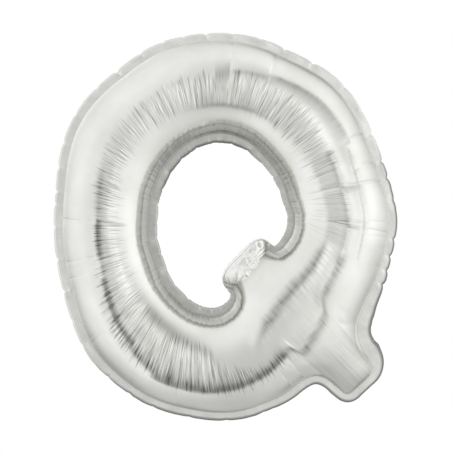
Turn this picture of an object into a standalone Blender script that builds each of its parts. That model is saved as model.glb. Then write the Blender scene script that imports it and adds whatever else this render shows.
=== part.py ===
"""Letter Q foil balloon, inflated: two sheets of metallised film sealed together along their edges.

Metres, +Z up, the letter read from -Y. The origin is the middle of the letter's box, on the plane of the seals.
Each sheet is a thin bowl whose rim lies on that plane. A flat sealed margin runs round the letter and round its
counter, the crumpled inner end of the tail lies on the front sheet, and the filler neck is folded behind the tail.
"""

import math

import bmesh
import bpy
import numpy as np

# Driving dimensions, in metres.
WALL = 0.010  # each sheet is drawn this thick, where the real film is 0.04 mm
DEPTH_SCALE = 0.92  # crest height of a sheet over half the width between its seals
CREST_TOP = 0.13  # the height the sheet can't pass, however wide the letter is there
MARGIN_THICK = 0.0020
GAP = 0.0003  # between pieces that touch

# Where the letter is cut across, in millimetres: a point on the counter's seal and one on the outer seal, as
# x and z, then the width of the flat margin beyond each of the two. Counter-clockwise from the right-hand side.
STATIONS = (
    (148, 32, 363, 7, 12, 17),
    (140, 54, 354, 71, 12, 17),
    (133, 79, 333, 139, 12, 17),
    (120, 109, 307, 207, 13, 17),
    (100, 139, 271, 275, 13, 17),
    (79, 162, 221, 328, 15, 17),
    (55, 185, 154, 366, 17, 17),
    (25, 200, 83, 398, 19, 17),
    (-10, 208, -1, 413, 20, 17),
    (-49, 202, -80, 408, 19, 17),
    (-84, 186, -155, 386, 19, 17),
    (-114, 160, -221, 342, 18, 17),
    (-139, 128, -286, 286, 18, 17),
    (-154, 98, -329, 224, 18, 17),
    (-165, 67, -352, 154, 17, 17),
    (-169, 32, -361, 79, 17, 17),
    (-171, -4, -365, 0, 17, 17),
    (-169, -32, -359, -70, 17, 17),
    (-161, -60, -344, -142, 17, 17),
    (-152, -88, -322, -214, 17, 17),
    (-138, -122, -284, -286, 17, 17),
    (-120, -147, -228, -340, 17, 17),
    (-98, -169, -161, -382, 17, 17),
    (-73, -186, -87, -404, 16, 17),
    (-48, -194, -15, -413, 16, 17),
    (-26, -196, 48, -406, 16, 17),
    (-6, -190, 95, -389, 15, 17),
    (8, -179, 133, -371, 13, 17),
    (18, -163, 166, -346, 10, 17),
    (18, -146, 198, -332, 8, 17),
    (8, -133, 226, -340, 7, 17),
    (0, -119, 251, -361, 7, 17),
    (1, -106, 269, -372, 7, 17),
    (14, -86, 290, -360, 7, 17),
    (41, -59, 315, -337, 7, 17),
    (61, -40, 325, -319, 7, 22),
    (75, -34, 322, -303, 7, 30),
    (85, -36, 312, -289, 7, 37),
    (97, -45, 300, -269, 7, 35),
    (106, -51, 291, -238, 8, 31),
    (119, -48, 293, -210, 10, 31),
    (133, -33, 303, -183, 11, 29),
    (143, -16, 314, -158, 12, 26),
    (148, 0, 330, -127, 12, 22),
    (149, 17, 350, -67, 12, 17),
)
TAIL_STATIONS = (30, 38)  # the stations at the tail's two shoulders in the counter

# The fold of crumpled film over the inner end of the tail.
FOLD_RISE = 0.032
FOLD_REACH = 0.20  # share of the way from the tail's inner end to its outer end
FOLD_EDGE = 0.0015

# The filler neck: a flat tab of the two films, folded behind the wide margin beside the tail.
NECK_WIDTH = 0.030
NECK_LENGTH = 0.026
NECK_THICK = 0.0014
NECK_AT = (0.3345, -0.2640)  # x and z of the middle of its folded end, just inside the outer edge
NECK_OUT = (0.872, 0.490)  # unit direction out of the edge there
SLEEVE_WIDTH = 0.020
SLEEVE_LENGTH = 0.006
SLEEVE_THICK = 0.0006

AROUND = 112  # steps round the letter
ACROSS = 9  # steps across a sheet


def clear_scene():
    for obj in list(bpy.data.objects):
        bpy.data.objects.remove(obj, do_unlink=True)


def closed_spline(knots, values, at):
    """Smooth closed curve through values at knots, where the last knot closes the curve on the first value."""
    steps = np.diff(knots)
    count = len(steps)
    before, ahead = np.roll(steps, 1), steps
    rise = (np.roll(values, -1, axis=0) - values) / steps[:, None]
    system = np.zeros((count, count))
    for k in range(count):
        system[k, k - 1] += ahead[k]
        system[k, k] += 2 * (before[k] + ahead[k])
        system[k, (k + 1) % count] += before[k]
    wanted = 3 * (ahead[:, None] * np.roll(rise, 1, axis=0) + before[:, None] * rise)
    slopes = np.linalg.solve(system, wanted)
    place = np.clip(np.searchsorted(knots, at, side="right") - 1, 0, count - 1)
    step = steps[place][:, None]
    t = (at - knots[place])[:, None] / step
    first, last = values[place], values[(place + 1) % count]
    leaving, arriving = slopes[place] * step, slopes[(place + 1) % count] * step
    return (
        first * (1 + 2 * t) * (1 - t) ** 2
        + leaving * t * (1 - t) ** 2
        + last * t * t * (3 - 2 * t)
        - arriving * t * t * (1 - t)
    )


def beside(points, distance):
    """A closed line in the XZ plane, moved this far out of the loop it makes, or into it if negative."""
    along = np.roll(points, -1, axis=0) - points
    along /= np.linalg.norm(along, axis=1)[:, None]
    ahead = np.stack([along[:, 1], -along[:, 0]], axis=1)
    behind = np.roll(ahead, 1, axis=0)
    turn = 1 + (ahead * behind).sum(axis=1)
    return points + distance * (ahead + behind) / turn[:, None]


def letter_lines():
    """The counter's edge, its seal, the outer seal and the outer edge, each as AROUND points in the XZ plane."""
    table = np.array(STATIONS, float) / 1000
    spacing = np.linalg.norm(np.roll(table, -1, axis=0)[:, :4] - table[:, :4], axis=1)
    knots = np.concatenate([[0.0], np.cumsum(spacing)])
    at = np.linspace(0, knots[-1], AROUND, endpoint=False)
    rows = closed_spline(knots, table, at)
    inner_seal, outer_seal = rows[:, 0:2], rows[:, 2:4]
    inner_edge = beside(inner_seal, -rows[:, 4:5])
    outer_edge = beside(outer_seal, rows[:, 5:6])
    tail_from, tail_to = knots[TAIL_STATIONS[0]], knots[TAIL_STATIONS[1]]
    share = (at - tail_from) / (tail_to - tail_from)
    return inner_edge, inner_seal, outer_seal, outer_edge, share


def grid_between(inner, outer, ways):
    """Points across the stroke, at these shares of the way from the inner line to the outer one."""
    return inner[:, None, :] + (outer - inner)[:, None, :] * ways[None, :, None]


def stretch_matrix(points):
    """Edge weights of a flat grid that is closed one way: round the letter, across it and along one diagonal."""
    a, b = points[:, :-1], np.roll(points, -1, axis=0)[:, :-1]
    c, d = np.roll(points, -1, axis=0)[:, 1:], points[:, 1:]

    def corner(tip, one, two):
        u, v = one - tip, two - tip
        area = np.abs(u[..., 0] * v[..., 1] - u[..., 1] * v[..., 0])
        return (u * v).sum(-1) / np.maximum(area, 1e-12) / 2

    def area(one, two, three):
        u, v = two - one, three - one
        return np.abs(u[..., 0] * v[..., 1] - u[..., 1] * v[..., 0]) / 2

    rim = np.zeros((points.shape[0], 1))
    round_low = np.concatenate([corner(c, a, b), rim], axis=1)
    round_high = np.concatenate([rim, corner(a, c, d)], axis=1)
    across_near = corner(c, d, a)
    across_far = np.roll(corner(a, b, c), 1, axis=0)
    diagonal = corner(b, a, c) + corner(d, c, a)
    lower, upper = area(a, b, c), area(a, c, d)
    load = np.zeros(points.shape[:2])
    load[:, :-1] += (lower + upper) / 3 + np.roll(lower, 1, axis=0) / 3
    load[:, 1:] += (lower + upper) / 3 - lower / 3 + np.roll(lower + upper, 1, axis=0) / 3
    return round_low + round_high, across_near + across_far, diagonal, load


def soap_film(points):
    """Height of a soap film blown up over the stroke, with its rim on both seals: pressure against stretch."""
    around, across, diagonal, load = stretch_matrix(points)

    def pull(h):
        out = around * (h - np.roll(h, -1, axis=0))
        out += np.roll(around, 1, axis=0) * (h - np.roll(h, 1, axis=0))
        step = across * (h[:, :-1] - h[:, 1:])
        out[:, :-1] += step
        out[:, 1:] -= step
        skew = diagonal * (h[:, :-1] - np.roll(h, -1, axis=0)[:, 1:])
        out[:, :-1] += skew
        out[:, 1:] -= np.roll(skew, 1, axis=0)
        out[:, 0] = out[:, -1] = 0
        return out

    height = np.zeros(points.shape[:2])
    rest = load.copy()
    rest[:, 0] = rest[:, -1] = 0
    heading, size = rest.copy(), (rest * rest).sum()
    first = size
    while size > 1e-16 * first:
        pulled = pull(heading)
        reach = size / (heading * pulled).sum()
        height += reach * heading
        rest -= reach * pulled
        before, size = size, (rest * rest).sum()
        heading = rest + heading * size / before
    return height


def sheet_heights(inner_seal, outer_seal, ways):
    """How far the inflated sheet stands off the plane of the seals."""
    film = soap_film(grid_between(inner_seal, outer_seal, ways))
    round_height = DEPTH_SCALE * np.sqrt(2 * np.maximum(film, 0))
    return round_height / (1 + (round_height / CREST_TOP) ** 4) ** 0.25


def new_object(name, mesh_maker, material):
    bm = bmesh.new()
    mesh_maker(bm)
    bmesh.ops.recalc_face_normals(bm, faces=bm.faces)
    mesh = bpy.data.meshes.new(name)
    bm.to_mesh(mesh)
    bm.free()
    mesh.shade_smooth()
    mesh.set_sharp_from_angle(angle=math.radians(40))
    mesh.materials.append(material)
    obj = bpy.data.objects.new(name, mesh)
    bpy.context.scene.collection.objects.link(obj)
    return obj


def ring_solid(sections):
    """Mesh maker for a solid ring: one closed section at each step round the letter, each joined to the next."""

    def make(bm):
        loops = [[bm.verts.new(point) for point in section] for section in sections]
        for here, ahead in zip(loops, loops[1:] + loops[:1]):
            for k in range(len(here)):
                n = (k + 1) % len(here)
                bm.faces.new((here[k], here[n], ahead[n], ahead[k]))

    return make


def foil_material(name, colour, roughness, metallic):
    material = bpy.data.materials.new(name)
    material.use_nodes = True
    shader = material.node_tree.nodes["Principled BSDF"]
    shader.inputs["Base Color"].default_value = (*colour, 1)
    shader.inputs["Roughness"].default_value = roughness
    shader.inputs["Metallic"].default_value = metallic
    return material


def cosine_ways(count):
    """Shares from 0 to 1, close together at both ends, where the sheet is steep."""
    return (1 - np.cos(np.linspace(0, math.pi, count + 1))) / 2


def make_sheet(name, lines, side, material):
    """One bowl-shaped sheet: side -1 is the front, +1 the back. Its inner face is a wall's thickness in."""
    _, inner_seal, outer_seal, _, _ = lines
    ways = cosine_ways(ACROSS)
    outside = grid_between(inner_seal, outer_seal, ways)
    heights = sheet_heights(inner_seal, outer_seal, ways)
    width = np.linalg.norm(outer_seal - inner_seal, axis=1)[:, None]
    inset = WALL / width
    inner_ways = inset + (1 - 2 * inset) * ways[None, :]
    inside = inner_seal[:, None, :] + (outer_seal - inner_seal)[:, None, :] * inner_ways[:, :, None]
    crest = heights.max(axis=1)[:, None]
    hollow = heights * (crest - WALL) / crest
    sections = []
    for step in range(AROUND):
        outer_face = [
            (x, side * (GAP / 2 + h), z) for (x, z), h in zip(outside[step], heights[step])
        ]
        inner_face = [
            (x, side * (GAP / 2 + h), z) for (x, z), h in zip(inside[step], hollow[step])
        ]
        sections.append(outer_face + inner_face[::-1])
    return new_object(name, ring_solid(sections), material)


def make_margin(name, seal, edge, away, material):
    """The flat sealed margin between a seal and the free edge, where away is 1 out of the loop and -1 into it."""
    start = beside(seal, away * GAP)
    half = MARGIN_THICK / 2
    sections = []
    for near, far in zip(start, edge):
        sections.append(
            [(near[0], -half, near[1]), (far[0], -half, far[1]), (far[0], half, far[1]), (near[0], half, near[1])]
        )
    return new_object(name, ring_solid(sections), material)


def make_tail_fold(lines, material):
    """The puffed fold over the tail's inner end. Its back follows the front sheet, a gap away."""
    _, inner_seal, outer_seal, _, share = lines
    picked = np.where((share > -0.02) & (share < 1.02))[0]
    ways = cosine_ways(ACROSS)
    heights = sheet_heights(inner_seal, outer_seal, ways)
    spots = grid_between(inner_seal, outer_seal, ways)
    kept = np.where(ways <= FOLD_REACH)[0]
    along = np.clip(share[picked], 0, 1)
    hump_along = np.sin(math.pi * along) ** 0.5
    hump_across = np.sin(math.pi * np.clip(ways[kept] / ways[kept[-1]], 0, 1))
    rise = FOLD_EDGE + FOLD_RISE * hump_along[:, None] * hump_across[None, :]
    back = heights[np.ix_(picked, kept)] + GAP / 2 + GAP
    front = back + rise
    places = spots[np.ix_(picked, kept)]

    def make(bm):
        rows = {}
        for face, depth in (("back", back), ("front", front)):
            rows[face] = [
                [bm.verts.new((x, -d, z)) for (x, z), d in zip(place, deep)]
                for place, deep in zip(places, depth)
            ]
        last_row, last_col = len(picked) - 1, len(kept) - 1
        for r in range(last_row):
            for c in range(last_col):
                for face in rows.values():
                    bm.faces.new((face[r][c], face[r + 1][c], face[r + 1][c + 1], face[r][c + 1]))
        for c in range(last_col):
            for r in (0, last_row):
                bm.faces.new(
                    (rows["back"][r][c], rows["back"][r][c + 1], rows["front"][r][c + 1], rows["front"][r][c])
                )
        for r in range(last_row):
            for c in (0, last_col):
                bm.faces.new(
                    (rows["back"][r][c], rows["back"][r + 1][c], rows["front"][r + 1][c], rows["front"][r][c])
                )

    return new_object("tail_fold", make, material)


def plate(name, outline, thick, low_y, material):
    """A flat plate in the XZ plane with this outline, between low_y and low_y + thick."""

    def make(bm):
        face = bm.faces.new([bm.verts.new((x, low_y, z)) for x, z in outline])
        grown = bmesh.ops.extrude_face_region(bm, geom=[face])
        moved = [v for v in grown["geom"] if isinstance(v, bmesh.types.BMVert)]
        bmesh.ops.translate(bm, vec=(0, thick, 0), verts=moved)

    return new_object(name, make, material)


def neck_point(along, inward):
    """A point of the neck's plane: along the letter's edge from the neck's middle, and inward from the edge."""
    out_x, out_z = NECK_OUT
    return (
        NECK_AT[0] - out_x * inward - out_z * along,
        NECK_AT[1] - out_z * inward + out_x * along,
    )


def make_filler(film, sleeve_film):
    """The filler neck, folded flat behind the margin, and the mouth of the valve sleeve at its free end."""
    half, taper = NECK_WIDTH / 2, 0.004
    behind = MARGIN_THICK / 2 + GAP
    neck = [(-half, 0), (half, 0), (half, NECK_LENGTH - taper), (half - taper, NECK_LENGTH)]
    neck += [(taper - half, NECK_LENGTH), (-half, NECK_LENGTH - taper)]
    plate("filler_neck", [neck_point(*p) for p in neck], NECK_THICK, behind, film)
    reach = SLEEVE_WIDTH / 2
    near, far = NECK_LENGTH + GAP, NECK_LENGTH + SLEEVE_LENGTH
    sleeve = [(-reach, near), (reach, near), (reach, far), (-reach, far)]
    low_y = behind + (NECK_THICK - SLEEVE_THICK) / 2
    plate("valve_sleeve", [neck_point(*p) for p in sleeve], SLEEVE_THICK, low_y, sleeve_film)


def main():
    clear_scene()
    foil = foil_material("silver_foil", (0.90, 0.90, 0.88), 0.22, 1.0)
    seal = foil_material("sealed_foil", (0.78, 0.78, 0.76), 0.35, 1.0)
    clear_film = foil_material("valve_film", (0.86, 0.88, 0.90), 0.30, 0.0)
    lines = letter_lines()
    inner_edge, inner_seal, outer_seal, outer_edge, _ = lines
    make_sheet("front_foil", lines, -1, foil)
    make_sheet("back_foil", lines, 1, foil)
    make_margin("outer_seam", outer_seal, outer_edge, 1, seal)
    make_margin("counter_seam", inner_seal, inner_edge, -1, seal)
    make_tail_fold(lines, foil)
    make_filler(seal, clear_film)


main()
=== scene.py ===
import math

import bpy
import numpy as np
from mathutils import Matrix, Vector
from mathutils.bvhtree import BVHTree


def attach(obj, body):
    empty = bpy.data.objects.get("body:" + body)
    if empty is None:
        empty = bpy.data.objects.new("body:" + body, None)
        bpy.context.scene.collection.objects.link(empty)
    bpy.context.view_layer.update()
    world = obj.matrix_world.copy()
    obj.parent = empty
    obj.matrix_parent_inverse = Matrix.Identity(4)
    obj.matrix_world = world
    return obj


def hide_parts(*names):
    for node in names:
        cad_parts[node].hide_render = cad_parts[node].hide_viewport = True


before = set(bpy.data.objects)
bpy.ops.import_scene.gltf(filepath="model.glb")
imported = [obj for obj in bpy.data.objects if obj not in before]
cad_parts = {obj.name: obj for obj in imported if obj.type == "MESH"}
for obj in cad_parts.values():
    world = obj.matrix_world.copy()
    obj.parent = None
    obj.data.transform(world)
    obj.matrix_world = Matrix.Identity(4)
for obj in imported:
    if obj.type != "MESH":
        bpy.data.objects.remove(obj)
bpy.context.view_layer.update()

print("frame loaded")

# The letter's own sizes, in millimetres, the same as in the CAD model: a point on the counter's seal and one
# on the outer seal, as x and z, then the flat margin's width beyond each. Counter-clockwise from the right.
# They started as a program's trace of the outline, rounded, and were then edited.
stations = (
    (148, 32, 363, 7, 12, 17),
    (140, 54, 354, 71, 12, 17),
    (133, 79, 333, 139, 12, 17),
    (120, 109, 307, 207, 13, 17),
    (100, 139, 271, 275, 13, 17),
    (79, 162, 221, 328, 15, 17),
    (55, 185, 154, 366, 17, 17),
    (25, 200, 83, 398, 19, 17),
    (-10, 208, -1, 413, 20, 17),
    (-49, 202, -80, 408, 19, 17),
    (-84, 186, -155, 386, 19, 17),
    (-114, 160, -221, 342, 18, 17),
    (-139, 128, -286, 286, 18, 17),
    (-154, 98, -329, 224, 18, 17),
    (-165, 67, -352, 154, 17, 17),
    (-169, 32, -361, 79, 17, 17),
    (-171, -4, -365, 0, 17, 17),
    (-169, -32, -359, -70, 17, 17),
    (-161, -60, -344, -142, 17, 17),
    (-152, -88, -322, -214, 17, 17),
    (-138, -122, -284, -286, 17, 17),
    (-120, -147, -228, -340, 17, 17),
    (-98, -169, -161, -382, 17, 17),
    (-73, -186, -87, -404, 16, 17),
    (-48, -194, -15, -413, 16, 17),
    (-26, -196, 48, -406, 16, 17),
    (-6, -190, 95, -389, 15, 17),
    (8, -179, 133, -371, 13, 17),
    (18, -163, 166, -346, 10, 17),
    (18, -146, 198, -332, 8, 17),
    (8, -133, 226, -340, 7, 17),
    (0, -119, 251, -361, 7, 17),
    (1, -106, 269, -372, 7, 17),
    (14, -86, 290, -360, 7, 17),
    (41, -59, 315, -337, 7, 17),
    (61, -40, 325, -319, 7, 22),
    (75, -34, 322, -303, 7, 30),
    (85, -36, 312, -289, 7, 37),
    (97, -45, 300, -269, 7, 35),
    (106, -51, 291, -238, 8, 31),
    (119, -48, 293, -210, 10, 31),
    (133, -33, 303, -183, 11, 29),
    (143, -16, 314, -158, 12, 26),
    (148, 0, 330, -127, 12, 22),
    (149, 17, 350, -67, 12, 17),
)
tailStations = (30, 38)  # the tail's two shoulders in the counter

letter = {
    "roundness": 0.92,  # crest height over half the width between the seals
    "tallest": 0.130,  # metres no crest can pass
    "crestOutward": 0.16,  # how far the crest leans towards the outer seal
    "stepsAround": 480,  # coarse grid for the inflated shape
    "stepsAcross": 32,
}


def closedSpline(knots, values, at):
    # smooth closed curve through values, one for each knot but the last, which closes the loop
    steps = np.diff(knots)
    count = len(steps)
    before = np.roll(steps, 1)
    rise = (np.roll(values, -1, axis=0) - values) / steps[:, None]
    system = np.zeros((count, count))
    for k in range(count):
        system[k, k - 1] += steps[k]
        system[k, k] += 2 * (before[k] + steps[k])
        system[k, (k + 1) % count] += before[k]
    wanted = 3 * (steps[:, None] * np.roll(rise, 1, axis=0) + before[:, None] * rise)
    slopes = np.linalg.solve(system, wanted)
    place = np.clip(np.searchsorted(knots, at, side="right") - 1, 0, count - 1)
    step = steps[place][:, None]
    t = (at - knots[place])[:, None] / step
    first, last = values[place], values[(place + 1) % count]
    leaving, arriving = slopes[place] * step, slopes[(place + 1) % count] * step
    return (first * (1 + 2 * t) * (1 - t) ** 2 + leaving * t * (1 - t) ** 2
            + last * t * t * (3 - 2 * t) - arriving * t * t * (1 - t))


def letterLines(places):
    # the counter's seal, the outer seal and both margin widths at places round the letter, from 0 to 1
    table = np.array(stations, float) / 1000
    spacing = np.linalg.norm(np.roll(table, -1, axis=0)[:, :4] - table[:, :4], axis=1)
    knots = np.concatenate([[0.0], np.cumsum(spacing)])
    at = places * knots[-1]
    rows = closedSpline(knots, table, at)
    tailFrom, tailTo = knots[tailStations[0]], knots[tailStations[1]]
    return rows[:, 0:2], rows[:, 2:4], rows[:, 4], rows[:, 5], (at - tailFrom) / (tailTo - tailFrom)


def besideLine(points, distance):
    # a closed line moved this far out of its loop
    along = np.roll(points, -1, axis=0) - points
    along /= np.linalg.norm(along, axis=1)[:, None]
    ahead = np.stack([along[:, 1], -along[:, 0]], axis=1)
    behind = np.roll(ahead, 1, axis=0)
    turn = 1 + (ahead * behind).sum(axis=1)
    return points + distance[:, None] * (ahead + behind) / turn[:, None]


def smoothStep(low, high, x):
    t = np.clip((x - low) / (high - low), 0, 1)
    return t * t * (3 - 2 * t)


def evenPlaces(count):
    return np.arange(count) / count


def filmPlaces(count):
    # places round the letter that crowd where the film is gathered and thin out along the tail
    fine = evenPlaces(3000)
    share = letterLines(fine)[4]
    weight = 1 - 0.55 * smoothStep(-0.7, -0.1, share) * (1 - smoothStep(1.1, 1.8, share))
    total = np.concatenate([[0], np.cumsum(weight)]) / weight.sum()
    return np.interp(evenPlaces(count), total, np.append(fine, 1))


def filmRows(count):
    # shares across the stroke, crowded beside both seals and where the counter's wall is creased
    fine = np.linspace(0, 1, 4001)
    weight = 1 + 1.6 * np.exp(-((fine - 0.10) / 0.05) ** 2) + 1.5 * np.exp(-fine / 0.02)
    weight += 3 * np.exp(-(1 - fine) / 0.012) + 0.5 * np.exp(-((fine - 0.70) / 0.14) ** 2)
    total = np.concatenate([[0], np.cumsum((weight[1:] + weight[:-1]) / 2)])
    return np.interp(np.linspace(0, 1, count + 1), total / total[-1], fine)


def clockAngle(points):
    return np.degrees(np.unwrap(np.arctan2(points[:, 1], points[:, 0])))


def clockSpot(clock, angles, walked):
    # how far along its line a clock angle lies
    return np.interp((clock - angles[0]) % 360 + angles[0], angles, walked)


def alongLine(points):
    # metres walked round a closed line, and its whole length
    steps = np.linalg.norm(np.roll(points, -1, axis=0) - points, axis=1)
    return np.concatenate([[0], np.cumsum(steps)[:-1]]), steps.sum()


def blownFilm(points):
    # a soap film over the stroke, held at both seals: pressure against stretch, solved by conjugate gradients
    ahead = np.roll(points, -1, axis=0)
    a, b, c, d = points[:, :-1], ahead[:, :-1], ahead[:, 1:], points[:, 1:]

    def grip(tip, one, two):
        u, v = one - tip, two - tip
        area = np.abs(u[..., 0] * v[..., 1] - u[..., 1] * v[..., 0])
        return (u * v).sum(-1) / np.maximum(area, 1e-12) / 2

    def triangle(one, two, three):
        u, v = two - one, three - one
        return np.abs(u[..., 0] * v[..., 1] - u[..., 1] * v[..., 0]) / 2

    rim = np.zeros((len(points), 1))
    around = np.concatenate([grip(c, a, b), rim], axis=1) + np.concatenate([rim, grip(a, c, d)], axis=1)
    across = grip(c, d, a) + np.roll(grip(a, b, c), 1, axis=0)
    diagonal = grip(b, a, c) + grip(d, c, a)
    lower, upper = triangle(a, b, c), triangle(a, c, d)
    load = np.zeros(points.shape[:2])
    load[:, :-1] += (lower + upper + np.roll(lower, 1, axis=0)) / 3
    load[:, 1:] += (upper + np.roll(lower + upper, 1, axis=0)) / 3

    def pull(h):
        out = around * (h - np.roll(h, -1, axis=0))
        out += np.roll(around, 1, axis=0) * (h - np.roll(h, 1, axis=0))
        step = across * (h[:, :-1] - h[:, 1:])
        out[:, :-1] += step
        out[:, 1:] -= step
        skew = diagonal * (h[:, :-1] - np.roll(h, -1, axis=0)[:, 1:])
        out[:, :-1] += skew
        out[:, 1:] -= np.roll(skew, 1, axis=0)
        out[:, 0] = out[:, -1] = 0
        return out

    height = np.zeros(points.shape[:2])
    rest = load.copy()
    rest[:, 0] = rest[:, -1] = 0
    heading, size = rest.copy(), (rest * rest).sum()
    enough = 1e-14 * size
    while size > enough:
        pulled = pull(heading)
        reach = size / (heading * pulled).sum()
        height += reach * heading
        rest -= reach * pulled
        before, size = size, (rest * rest).sum()
        heading = rest + heading * size / before
    return height


def inflatedHeight(places, ways):
    # the smooth height of a sheet over the plane of the seals, on a fine grid: the film is solved coarsely,
    # divided by the shape it would have on a straight strip, and read between the points with cubic curves
    coarsePlaces, steps = evenPlaces(letter["stepsAround"]), letter["stepsAcross"]
    inner, outer, _, _, _ = letterLines(coarsePlaces)
    coarse = (1 - np.cos(np.linspace(0, math.pi, steps + 1))) / 2
    film = blownFilm(inner[:, None] + (outer - inner)[:, None] * coarse[None, :, None])
    share = film[:, 1:-1] / (coarse * (1 - coarse))[1:-1]
    first, last = (4 * share[:, :1] - share[:, 1:2]) / 3, (4 * share[:, -1:] - share[:, -2:-1]) / 3
    share = np.concatenate([share[:, :1], first, share, last, share[:, -1:]], axis=1)
    share = closedSpline(np.append(coarsePlaces, 1), share, places)
    tail = letterLines(places)[4]
    lean = letter["crestOutward"] * (1 - smoothStep(-1.3, -0.3, tail) * (1 - smoothStep(1.3, 2.3, tail)))
    leaned = ways[None, :] - lean[:, None] * (ways * (1 - ways))[None, :]
    at = np.arccos(1 - 2 * leaned) / math.pi * steps
    column = np.clip(at.astype(int), 0, steps - 1)
    t = at - column
    a, b, c, d = (np.take_along_axis(share, column + k, axis=1) for k in range(4))
    square, cube = a - 2.5 * b + 2 * c - d / 2, 1.5 * (b - c) + (d - a) / 2
    share = b + t * (c - a) / 2 + t ** 2 * square + t ** 3 * cube
    height = letter["roundness"] * np.sqrt(2 * np.maximum(share * leaned * (1 - leaned), 0))
    return height / (1 + (height / letter["tallest"]) ** 4) ** 0.25


def makeGrid(name, points, closedAround=True, closedAcross=False, flip=False, chart=None, marks=None):
    # one sheet of quads from points[around, across, 3]; chart is where its rows and columns lie, as shares,
    # and marks are named values at its points for its material
    rows, columns = points.shape[:2]
    index = np.arange(rows * columns).reshape(rows, columns)
    if closedAround:
        index = np.concatenate([index, index[:1]], axis=0)
    if closedAcross:
        index = np.concatenate([index, index[:, :1]], axis=1)
    corners = [index[:-1, :-1], index[1:, :-1], index[1:, 1:], index[:-1, 1:]]
    if flip:
        corners.reverse()
    faces = np.stack(corners, axis=-1).reshape(-1, 4)
    mesh = bpy.data.meshes.new(name)
    mesh.vertices.add(rows * columns)
    mesh.vertices.foreach_set("co", points.reshape(-1).astype(np.float32))
    mesh.loops.add(faces.size)
    mesh.loops.foreach_set("vertex_index", faces.reshape(-1).astype(np.int32))
    mesh.polygons.add(len(faces))
    mesh.polygons.foreach_set("loop_start", np.arange(0, faces.size, 4, dtype=np.int32))
    if chart:
        spots = np.stack(np.meshgrid(np.append(chart[0], 1), chart[1], indexing="ij"), axis=-1)
        corners = [spots[:-1, :-1], spots[1:, :-1], spots[1:, 1:], spots[:-1, 1:]]
        if flip:
            corners.reverse()
        mesh.uv_layers.new(name="roundAcross").uv.foreach_set("vector", np.stack(corners, axis=2).reshape(-1))
    for mark, values in (marks or {}).items():
        values = values.reshape(-1).astype(np.float32)
        mesh.attributes.new(mark, "FLOAT", "POINT").data.foreach_set("value", values)
    mesh.update(calc_edges=True)
    mesh.validate()
    mesh.shade_smooth()
    piece = bpy.data.objects.new(name, mesh)
    bpy.context.scene.collection.objects.link(piece)
    return piece


# The two inflated films. Sizes in metres unless they say otherwise.
film = {
    "around": 2150,
    "across": 45,
    "waves": (0.0007, 0.11),  # how high the film's slow waves are, and how long
    "gatherPitch": 0.0050,  # from one fine gather to the next, halfway across the stroke
    "gatherHalf": (0.0010, 0.0020),
    "gatherSlope": (0.05, 0.42),  # how steep the sides of a gather are
    "panelRise": 0.0009,  # how far the flat panels between the long creases are tipped
    "edgePucker": 0.0014,
    "creaseHalf": (0.0018, 0.0100),  # half width of a long crease's sharp line, and of its shallow valley
    "creaseDeep": (850, 800),  # a long crease's depth in millimetres over these is each one's in metres
    "hatchHalf": 1.3,  # half width and depth of a hatched crease, in millimetres
    "hatchDeep": 0.35,
    "frontSeed": 5,
    "backSeed": 11,
}

# Where the fine gathers lie: clock angle in degrees, shares across where they start and end, strength.
gatherZones = (
    (0, 0.12, 0.53, 0.30),
    (30, 0.22, 0.58, 0.6),
    (60, 0.22, 0.64, 0.9),
    (88, 0.26, 0.66, 1.0),
    (90, 0.24, 0.48, 0.9),
    (94, 0.24, 0.48, 0.9),
    (96, 0.26, 0.66, 1.1),
    (120, 0.30, 0.66, 0.9),
    (150, 0.28, 0.64, 0.7),
    (176, 0.26, 0.63, 0.8),
    (202, 0.24, 0.66, 0.8),
    (225, 0.25, 0.76, 1.1),
    (262, 0.27, 0.80, 1.1),
    (276, 0.55, 0.79, 1.1),
    (292, 0.62, 0.77, 1.0),
    (299, 0.62, 0.77, 0.0),
    (345, 0.12, 0.52, 0.0),
    (350, 0.12, 0.52, 0.2),
)

# Folds that run round the letter, on the front film only: clock angles of both ends, shares across at the
# start, the middle and the end, height in millimetres (a minus one is a groove), how wide each side is in
# millimetres, and 1 for a sharp crest or 2 for a round one. Simplified from a fit to the letter's tones.
ringFolds = (
    (170, 245, 0.57, 0.57, 0.57, 0.9, 6, 2),
    (238, 296, 0.80, 0.76, 0.70, 1.8, 17, 1),
    (288, 352, 0.65, 0.54, 0.56, 0.9, 14, 2),
    (282, 352, 0.41, 0.32, 0.35, 2.0, 16, 2),
    (340, 400, 0.55, 0.55, 0.55, 1.2, 8, 2),
    (-10, 35, 0.72, 0.72, 0.75, -0.5, 8, 1),
    (35, 75, 0.80, 0.76, 0.72, 1.6, 13, 1),
    (60, 125, 0.30, 0.28, 0.30, 0.8, 8, 2),
    (100, 215, 0.35, 0.35, 0.35, 0.6, 5, 2),
    (110, 200, 0.45, 0.45, 0.45, 0.6, 15, 2),
    (300, 350, 0.75, 0.75, 0.75, -0.9, 14, 2),
    (110, 230, 0.75, 0.75, 0.75, 1.0, 12, 2),
    (200, 300, 0.92, 0.92, 0.92, -0.5, 10, 2),
    (330, 400, 0.33, 0.33, 0.33, 1.4, 10, 2),
    (15, 235, 0.10, 0.10, 0.10, -0.5, 2.4, 1),
    (15, 235, 0.12, 0.12, 0.12, -0.5, 2, 1),
)
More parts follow.
